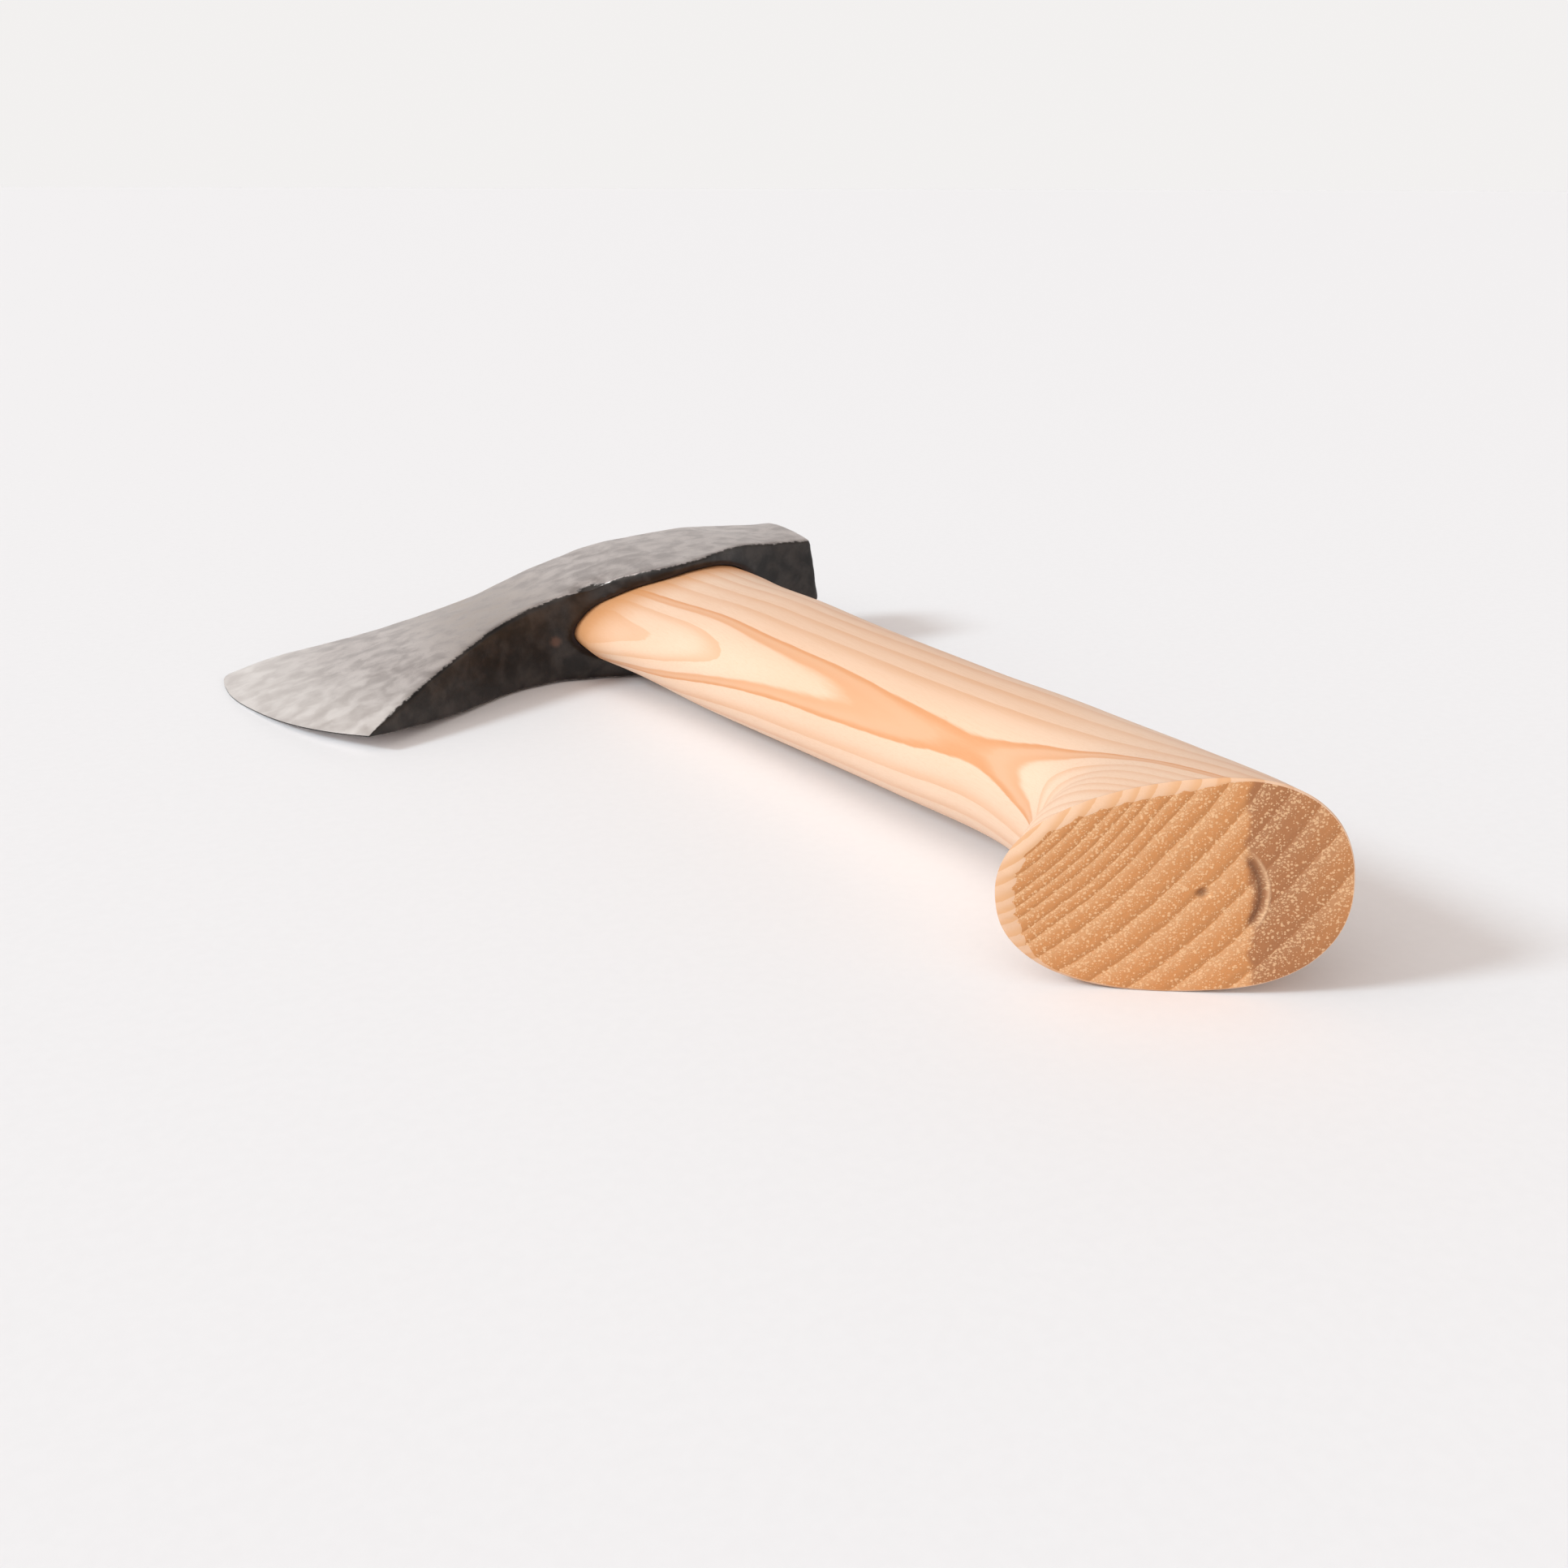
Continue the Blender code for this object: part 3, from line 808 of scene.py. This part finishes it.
def keep_marks(head, before, marks):
    """Carry the marks over to the carved head; the eye's inner wall is scaled."""
    tree = kdtree.KDTree(len(before))
    for i, place in enumerate(before):
        tree.insert(place, i)
    tree.balance()
    points = points_of(head)
    scale_and_shade = []
    for place in points:
        _, nearest, gap = tree.find(place)
        scale_and_shade.append(marks[nearest] if gap < MARK_REACH else 1.0)
    # The dent in front of the upper lug is painted black as shade.
    store(head, "scale_and_shade", np.maximum(scale_and_shade, lug_dent(points)))
    store(head, "edge_distance", edge_distance(points))
    store(head, "eye_rim", eye_rim(points))
    from_spot = np.hypot(points[:, 0] - RUST[0], points[:, 2] - RUST[1])
    spot = 1.0 - ease(from_spot, 0.4 * RUST[2], RUST[2])
    store(head, "rust", spot * (points[:, 1] < INSIDE_EYE[0]))


# ---- materials ------------------------------------------------------------------------------
class Nodes:
    """Short ways to add and join the nodes of one tree."""

    def __init__(self, tree):
        self.tree = tree

    def add(self, kind, **settings):
        """New node with its settings."""
        node = self.tree.nodes.new(kind)
        for key, value in settings.items():
            setattr(node, key, value)
        return node

    def feed(self, socket, value):
        """Join a socket to another, or set it to a number or colour."""
        if isinstance(value, bpy.types.NodeSocket):
            self.tree.links.new(value, socket)
        else:
            socket.default_value = value

    def calc(self, operation, *values):
        """Result of a Math node."""
        node = self.add("ShaderNodeMath", operation=operation)
        for socket, value in zip(node.inputs, values):
            self.feed(socket, value)
        return node.outputs[0]

    def scaled(self, vector, factors):
        """Vector times three factors."""
        node = self.add("ShaderNodeVectorMath", operation="MULTIPLY")
        self.feed(node.inputs[0], vector)
        node.inputs[1].default_value = factors
        return node.outputs[0]

    def axes(self, vector):
        """The x, y and z of a vector."""
        node = self.add("ShaderNodeSeparateXYZ")
        self.feed(node.inputs[0], vector)
        return node.outputs

    def cloud(self, vector, detail=3.0, rough=0.55, twist=0.0):
        """Noise of 0 to 1 whose features are one unit of the vector wide."""
        node = self.add("ShaderNodeTexNoise")
        self.feed(node.inputs["Vector"], vector)
        node.inputs["Scale"].default_value = 1.0
        node.inputs["Detail"].default_value = detail
        node.inputs["Roughness"].default_value = rough
        node.inputs["Distortion"].default_value = twist
        return node.outputs["Fac"]

    def cells(self, vector):
        """Voronoi cells: distance and random number."""
        node = self.add("ShaderNodeTexVoronoi", feature="F1")
        self.feed(node.inputs["Vector"], vector)
        node.inputs["Scale"].default_value = 1.0
        chance = self.axes(node.outputs["Color"])[0]
        return node.outputs["Distance"], chance

    def span(self, value, low, high, to_low=0.0, to_high=1.0):
        """Smooth step from one range to another."""
        node = self.add("ShaderNodeMapRange", interpolation_type="SMOOTHSTEP")
        for key, entry in (("Value", value), ("From Min", low), ("From Max", high),
                           ("To Min", to_low), ("To Max", to_high)):
            self.feed(node.inputs[key], entry)
        return node.outputs["Result"]

    def blend(self, factor, first, second):
        """Mix of two colours."""
        node = self.add("ShaderNodeMix", data_type="RGBA")
        self.feed(node.inputs[0], factor)
        for socket, colour in ((node.inputs[6], first), (node.inputs[7], second)):
            joined = isinstance(colour, bpy.types.NodeSocket)
            self.feed(socket, colour if joined else (*colour, 1.0))
        return node.outputs[2]


class Paint(Nodes):
    """The nodes of one material, with the place and numbers kept in its mesh."""

    def __init__(self, name):
        self.material = bpy.data.materials.new(name)
        self.material.use_nodes = True
        super().__init__(self.material.node_tree)
        self.shader = self.tree.nodes["Principled BSDF"]
        self.place = self.add("ShaderNodeAttribute", attribute_name="place").outputs["Vector"]

    def number(self, name):
        """A number kept in the mesh."""
        return self.add("ShaderNodeAttribute", attribute_name=name).outputs["Fac"]

    def relief(self, height, distance, strength):
        """Bump from a height of 0 to 1 that is a distance in millimetres high."""
        node = self.add("ShaderNodeBump")
        node.inputs["Strength"].default_value = strength
        node.inputs["Distance"].default_value = distance * MM
        self.feed(node.inputs["Height"], height)
        return node.outputs["Normal"]

    def finish(self, colour, rough, normal, **constants):
        """Join the results to the shader."""
        self.feed(self.shader.inputs["Base Color"], colour)
        self.feed(self.shader.inputs["Roughness"], rough)
        self.feed(self.shader.inputs["Normal"], normal)
        for key, value in constants.items():
            self.feed(self.shader.inputs[key.replace("_", " ")], value)
        return self.material


def ring_place(paint):
    """Place within a growth ring, from 0 just after the dark line to 1 on the next one."""
    tremble = paint.cloud(paint.scaled(paint.place, (0.8, 0.05, 0.8)), 3.0)
    tremble = paint.calc("SUBTRACT", tremble, 0.5)
    count = paint.calc("MULTIPLY_ADD", tremble, 0.12, paint.number("ring_count"))
    return paint.calc("FRACT", count), count


def wood_side():
    """Sanded long grain."""
    paint = Paint("haft_wood_side")
    place, count = ring_place(paint)
    late = paint.calc("POWER", paint.span(place, 0.2, 0.97), 1.7)
    late = paint.calc("MULTIPLY", late, paint.span(place, 0.97, 1.0, 1.0, 0.0))
    patchy = paint.cloud(paint.scaled(paint.place, (0.09, 0.02, 0.09)), 2.0)
    line = paint.calc("MULTIPLY", late, paint.span(patchy, 0.3, 0.7, 0.6, 0.95))
    # The bold ring: a soft inner band, then its dark line, then a clean end.
    inner = paint.span(count, 11.6, 11.8, 0.75, 0.45)
    inner = paint.calc("MULTIPLY", paint.span(count, 11.48, 11.6), inner)
    outer = paint.span(count, 11.72, 11.96)
    bold = paint.calc("MAXIMUM", inner, outer)
    bold = paint.calc("MULTIPLY", bold, paint.span(count, 11.98, 12.03, 1.0, 0.0))
    fibre = paint.cloud(paint.scaled(paint.place, (5.5, 0.10, 5.5)), 4.0, 0.7)
    hair = paint.cloud(paint.scaled(paint.place, (12.0, 0.35, 12.0)), 2.0, 0.6)
    broad = paint.cloud(paint.scaled(paint.place, (0.05, 0.012, 0.05)), 2.0)
    base = paint.blend(paint.span(broad, 0.3, 0.7), PALE_WOOD, WARM_WOOD)
    base = paint.blend(paint.calc("MULTIPLY", line, 0.75), base, LATE_WOOD)
    base = paint.blend(paint.calc("MULTIPLY", bold, 0.85), base, BOLD_RING)
    streak = paint.calc("MULTIPLY", paint.span(fibre, 0.42, 0.75), 0.24)
    base = paint.blend(streak, base, FIBRE_STREAK)
    crowd = paint.span(place, 0.0, 0.5, 0.4, 0.14)
    pore = paint.calc("MULTIPLY", paint.span(hair, 0.58, 0.72), crowd)
    base = paint.blend(pore, base, LONG_PORE)
    rim = paint.span(paint.axes(paint.place)[1], 168.0, 187.0)
    base = paint.blend(paint.calc("MULTIPLY", rim, 0.9), base, HEAD_RIM)
    chamfer = paint.span(place, 0.2, 0.95, 0.4, 0.9)
    chamfer = paint.calc("MULTIPLY", paint.number("chamfer"), chamfer)
    base = paint.blend(chamfer, base, CHAMFER_WOOD)
    height = paint.calc("MULTIPLY", fibre, 0.6)
    height = paint.calc("SUBTRACT", height, paint.calc("MULTIPLY", pore, 0.5))
    normal = paint.relief(height, 0.05, 0.5)
    rough = paint.span(fibre, 0.3, 0.7, 0.42, 0.56)
    return paint.finish(base, rough, normal, Specular_IOR_Level=0.4)


def wood_end():
    """Sanded end grain with its pores."""
    paint = Paint("haft_wood_end")
    place, _ = ring_place(paint)
    grain = paint.cloud(paint.scaled(paint.place, (2.2, 2.2, 2.2)), 4.0, 0.65)
    early = paint.span(place, 0.05, 0.6, 1.0, 0.0)
    dark = paint.span(place, 0.97, 1.0, 1.0, 0.0)
    dark = paint.calc("MULTIPLY", paint.span(place, 0.62, 0.95), dark)
    base = paint.blend(early, END_LATE, END_EARLY)
    base = paint.blend(paint.calc("MULTIPLY", dark, 0.6), base, END_LINE)
    mottle = paint.calc("MULTIPLY", paint.span(grain, 0.4, 0.7), 0.35)
    base = paint.blend(mottle, base, END_MOTTLE)
    axes = paint.axes(paint.place)
    wave = paint.cloud(paint.scaled(paint.place, (0.0, 0.0, 0.22)), 2.0)
    border = paint.calc("MULTIPLY_ADD", wave, -3.5, axes[0])
    stain = paint.span(axes[0], 10.0, 21.0, 1.0, 0.35)
    stain = paint.calc("MULTIPLY", paint.span(border, 4.6, 5.6), stain)
    base = paint.blend(paint.calc("MULTIPLY", stain, 0.66), base, END_STAIN)
    crowd = paint.span(place, 0.0, 0.7, 0.95, 0.35)
    speck = 0.0
    for size in SPECK_SIZES:
        gap, chance = paint.cells(paint.scaled(paint.place, (size, 0.0, size)))
        open_pore = paint.calc("LESS_THAN", chance, crowd)
        spot = paint.calc("MULTIPLY", paint.span(gap, 0.24, 0.4, 1.0, 0.0), open_pore)
        speck = paint.calc("MAXIMUM", spot, speck)
    base = paint.blend(paint.calc("MULTIPLY", speck, 0.55), base, END_SPECK)
    # The dimple and the groove are darkened as painted shade, and the lifted lip is lightened as a
    # painted highlight.
    for name, share, colour in (("dimple", 0.7, DIMPLE_SHADE), ("groove", 0.8, GROOVE_SHADE),
                                ("lip", 0.45, LIP_HIGHLIGHT)):
        base = paint.blend(paint.calc("MULTIPLY", paint.number(name), share), base, colour)
    height = paint.calc("MULTIPLY", grain, 0.8)
    height = paint.calc("SUBTRACT", height, paint.calc("MULTIPLY", dark, 0.25))
    height = paint.calc("MULTIPLY_ADD", speck, 0.35, height)
    normal = paint.relief(height, 0.12, 0.7)
    return paint.finish(base, 0.68, normal, Specular_IOR_Level=0.3)


def forged_steel():
    """Satin cheeks, black walls that are partly forge oxide and partly painted shade, and a
    brighter ground bit.
    """
    paint = Paint("forged_steel")
    axes = paint.axes(paint.place)
    ragged = paint.cloud(paint.scaled(paint.place, (0.9, 0.9, 0.9)), 4.0, 0.65)
    # Black on the walls is partly forge oxide and partly painted shade; on the corners and in the
    # lug dent it is painted shade.
    edge = paint.calc("MULTIPLY_ADD", ragged, 0.7, paint.number("scale_and_shade"))
    scale_and_shade = paint.span(edge, 0.72, 0.98)
    drift = paint.cloud(paint.scaled(paint.place, (0.12, 0.12, 0.12)), 3.0)
    distance = paint.calc("MULTIPLY_ADD", drift, 12.0, paint.number("edge_distance"))
    ground = paint.span(distance, 10.0, 38.0, 1.0, 0.0)
    blotch = paint.cloud(paint.scaled(paint.place, (0.2, 0.2, 0.2)), 4.0, 0.52, 0.3)
    pits = paint.cloud(paint.scaled(paint.place, (2.4, 2.4, 2.4)), 3.0, 0.6)
    brush = paint.cloud(paint.scaled(paint.place, (1.2, 9.0, 9.0)), 3.0, 0.6)
    satin = paint.blend(paint.span(blotch, 0.3, 0.66), *SATIN_STEEL)
    # The hollow of the cheek between the bit and the eye is warmer and darker.
    hollow = paint.span(axes[0], -46.0, -20.0, 1.0, 0.0)
    hollow = paint.calc("MULTIPLY", paint.span(axes[0], -70.0, -46.0), hollow)
    warm = paint.calc("MULTIPLY", hollow, paint.span(blotch, 0.4, 0.62, 0.25, 0.6))
    satin = paint.blend(warm, satin, HOLLOW_STEEL)
    pitted = paint.calc("MULTIPLY", paint.span(pits, 0.58, 0.74), 0.35)
    satin = paint.blend(pitted, satin, PIT_STEEL)
    bright = paint.blend(paint.span(blotch, 0.3, 0.7), *BIT_STEEL)
    metal = paint.blend(ground, satin, bright)
    black = paint.blend(paint.span(blotch, 0.35, 0.7), *FORGE_SCALE_AND_SHADE)
    colour = paint.blend(scale_and_shade, metal, black)
    for name, tint in (("eye_rim", EYE_RIM_STEEL), ("rust", RUST_BROWN)):
        colour = paint.blend(paint.calc("MULTIPLY", paint.number(name), 0.8), colour, tint)
    rough_metal = paint.span(blotch, 0.3, 0.7, 0.4, 0.52)
    rough_scale = paint.span(pits, 0.3, 0.7, 0.3, 0.5)
    rise = paint.calc("SUBTRACT", rough_scale, rough_metal)
    rough = paint.calc("MULTIPLY_ADD", scale_and_shade, rise, rough_metal)
    metallic = paint.span(scale_and_shade, 0.0, 1.0, 1.0, 0.2)
    height = paint.calc("MULTIPLY_ADD", brush, 0.25, paint.calc("MULTIPLY", pits, 0.6))
    height = paint.calc("MULTIPLY", height, paint.span(distance, 10.0, 60.0, 0.25, 1.0))
    normal = paint.relief(height, 0.1, 0.35)
    return paint.finish(colour, rough, normal, Metallic=metallic)


def wedge_wood():
    """Darker hardwood, seen on its driven end."""
    paint = Paint("wedge_wood")
    fibre = paint.cloud(paint.scaled(paint.place, (2.2, 0.25, 6.0)), 4.0, 0.65)
    gap, chance = paint.cells(paint.scaled(paint.place, (4.0, 0.6, 4.0)))
    base = paint.blend(paint.span(fibre, 0.35, 0.68), *WEDGE_GRAIN)
    chosen = paint.calc("LESS_THAN", chance, 0.4)
    speck = paint.calc("MULTIPLY", paint.span(gap, 0.15, 0.35, 1.0, 0.0), chosen)
    base = paint.blend(paint.calc("MULTIPLY", speck, 0.5), base, WEDGE_SPECK)
    normal = paint.relief(paint.calc("SUBTRACT", fibre, speck), 0.1, 0.6)
    return paint.finish(base, paint.span(fibre, 0.3, 0.7, 0.55, 0.72), normal)


def wedge_steel():
    """Plain pressed steel with hammer marks."""
    paint = Paint("wedge_steel")
    blotch = paint.cloud(paint.scaled(paint.place, (0.8, 0.8, 0.8)), 4.0, 0.6)
    scratch = paint.cloud(paint.scaled(paint.place, (9.0, 1.0, 1.5)), 3.0, 0.6)
    base = paint.blend(paint.span(blotch, 0.35, 0.65), *PRESSED_STEEL)
    height = paint.calc("MULTIPLY_ADD", scratch, 0.4, blotch)
    normal = paint.relief(height, 0.08, 0.6)
    return paint.finish(base, paint.span(scratch, 0.3, 0.7, 0.3, 0.48), normal, Metallic=1.0)


# ---- stage ----------------------------------------------------------------------------------
def rest_matrix(record):
    """Matrix from the working frame to the row frame, from the record's poll mount."""
    turn = Matrix.Rotation(REST_ROLL, 4, "Y") @ Matrix.Rotation(REST_TILT, 4, "X")
    mount = next(m for m in record["mounts"] if m["name"] == "poll_face")
    middle = (UNDERSIDE[-1][1] + TOP[-1][1]) / 2.0
    start = turn @ (Vector((POLL_X, middle, 0.0)) * MM)
    return Matrix.Translation(Vector(mount["pos_m"]) - start) @ turn


def add_floor():
    """Pale paper floor."""
    paint = Paint("paper")
    tooth = paint.cloud(paint.scaled(paint.place, (0.5, 0.5, 0.5)), 3.0)
    colour = paint.blend(paint.span(tooth, 0.3, 0.7), *PAPER)
    paint.finish(colour, 0.9, paint.relief(tooth, 0.02, 0.3))
    half = FLOOR_HALF / MM
    corners = ((-half, -half, 0.0), (half, -half, 0.0), (half, half, 0.0), (-half, half, 0.0))
    floor = make_mesh("floor", corners, [(0, 1, 2, 3)])
    keep_place(floor)
    floor.data.materials.append(paint.material)


def add_sky():
    """Pale surroundings, brighter over a broad part of the left, with an even horizon."""
    world = bpy.data.worlds.new("studio")
    bpy.context.scene.world = world
    world.use_nodes = True
    sky = Nodes(world.node_tree)
    direction = sky.add("ShaderNodeTexCoord").outputs["Generated"]
    toward = sky.add("ShaderNodeVectorMath", operation="DOT_PRODUCT")
    sky.feed(toward.inputs[0], direction)
    sky.feed(toward.inputs[1], SKY_SIDE.normalized())
    lobe = sky.span(toward.outputs["Value"], *SKY_LOBE, DIM_SKY, BRIGHT_SKY)
    share = sky.span(sky.axes(direction)["Z"], *SKY_RISE)
    strength = sky.add("ShaderNodeMix", data_type="FLOAT")
    for index, value in ((0, share), (2, HORIZON), (3, lobe)):
        sky.feed(strength.inputs[index], value)
    back = sky.tree.nodes["Background"]
    sky.feed(back.inputs["Color"], sky.blend(share, HORIZON_COLOUR, SKY_COLOUR))
    sky.feed(back.inputs["Strength"], strength.outputs[0])


def add_key_light():
    """Soft key light from the left."""
    lamp = bpy.data.lights.new("softbox", "SUN")
    lamp.energy = SUN_ENERGY
    lamp.angle = SUN_WIDTH
    lamp.color = SUN_COLOUR
    source = bpy.data.objects.new("softbox", lamp)
    bpy.context.scene.collection.objects.link(source)
    source.rotation_mode = "QUATERNION"
    source.rotation_quaternion = SUN_SIDE.to_track_quat("Z", "Y")


def add_camera():
    """Camera low in front of the knob, looking along the haft to the head."""
    lens = bpy.data.cameras.new("camera")
    lens.sensor_width = SENSOR
    lens.lens = CAMERA_LENS
    lens.clip_start, lens.clip_end = CLIP
    camera = bpy.data.objects.new("camera", lens)
    bpy.context.scene.collection.objects.link(camera)
    turn = Matrix.Rotation(CAMERA_TURN[0], 4, "Z") @ Matrix.Rotation(CAMERA_TURN[1], 4, "X")
    turn = turn @ Matrix.Rotation(CAMERA_TURN[2], 4, "Z")
    camera.matrix_world = Matrix.Translation(Vector(CAMERA_PLACE)) @ turn
    bpy.context.scene.camera = camera


def hold_inside(item, box):
    """Keep the points of a piece inside the CAD box, by a hair."""
    low = np.array(box[0]) + BOX_MARGIN * MM
    high = np.array(box[1]) - BOX_MARGIN * MM
    put_points(item, np.clip(vertex_vectors(item, "co"), low, high))


def place_piece(item, matrix, box, node):
    """Lay a fine piece in place of its CAD node."""
    keep_place(item)
    item.data.transform(matrix)
    hold_inside(item, box)
    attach(item, "root")
    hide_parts(node)


def main():
    """Dress the frame."""
    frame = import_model()
    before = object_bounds()
    matrix = rest_matrix(frame["record"])
    haft = build_haft([wood_side(), wood_end()])
    head = build_head()
    head.data.materials.append(forged_steel())
    wooden, steel = build_wedges()
    wooden.data.materials.append(wedge_wood())
    steel.data.materials.append(wedge_steel())
    place_piece(haft, matrix, before, "haft")
    place_piece(head, matrix, before, "head")
    place_piece(wooden, matrix, before, "wood_wedge")
    place_piece(steel, matrix, before, "steel_wedge")
    add_floor()
    add_sky()
    add_key_light()
    add_camera()
    bpy.context.scene.view_settings.view_transform = "Standard"
    bpy.context.view_layer.update()


main()
